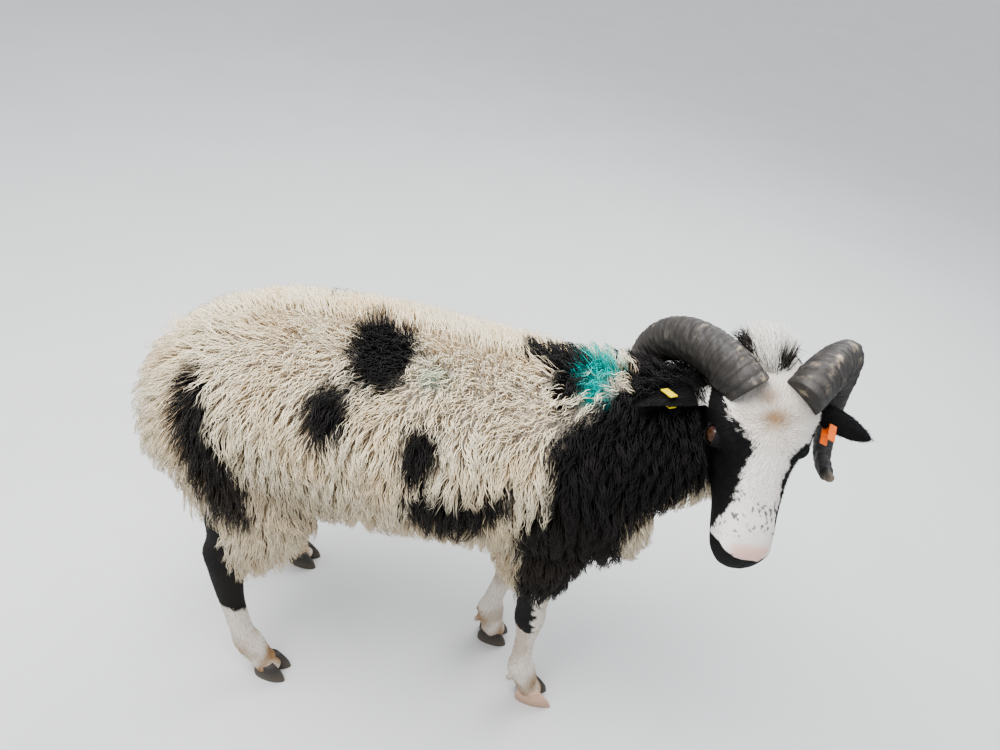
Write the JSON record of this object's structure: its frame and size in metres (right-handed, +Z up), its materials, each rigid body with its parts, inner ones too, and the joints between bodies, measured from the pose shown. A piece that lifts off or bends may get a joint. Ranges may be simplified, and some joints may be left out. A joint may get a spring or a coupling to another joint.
{
  "type": "jacob sheep",
  "caption": "Life-size still model of a two-horned Jacob sheep in full fleece, standing with its head turned to its right.",
  "frame": {"origin": "on the floor under the middle of the animal's bounding box", "axes": "+X the way the trunk faces, +Y the animal's left, +Z up"},
  "size_m": [0.9514, 0.3053, 0.7494],
  "materials": {
    "white_fleece": "matt cream wool",
    "black_fleece": "matt black wool",
    "face_hair": "short black and white hair",
    "leg_hair": "short cream hair with black marks",
    "ear_hair": "short black hair",
    "eye": "wet dark brown",
    "horn": "ringed dark grey horn",
    "claw": "worn black horn",
    "yellow_tag": "moulded yellow plastic",
    "orange_tag": "moulded orange plastic"
  },
  "bodies": {
    "root": {"claw_fore_left_inner": "claw", "claw_fore_left_outer": "claw", "claw_fore_right_inner": "claw", "claw_fore_right_outer": "claw", "claw_hind_left_inner": "claw", "claw_hind_left_outer": "claw", "claw_hind_right_inner": "claw", "claw_hind_right_outer": "claw", "ear_left": "ear_hair", "ear_right": "ear_hair", "ear_tag_left": "orange_tag", "ear_tag_right": "yellow_tag", "eye_left": "eye", "eye_right": "eye", "head": "face_hair", "horn_left": "horn", "horn_right": "horn", "leg_fore_left": "leg_hair", "leg_fore_right": "leg_hair", "leg_hind_left": "leg_hair", "leg_hind_right": "leg_hair", "neck": "black_fleece", "tail": "white_fleece", "torso": "white_fleece"}
  },
  "joints": []
}
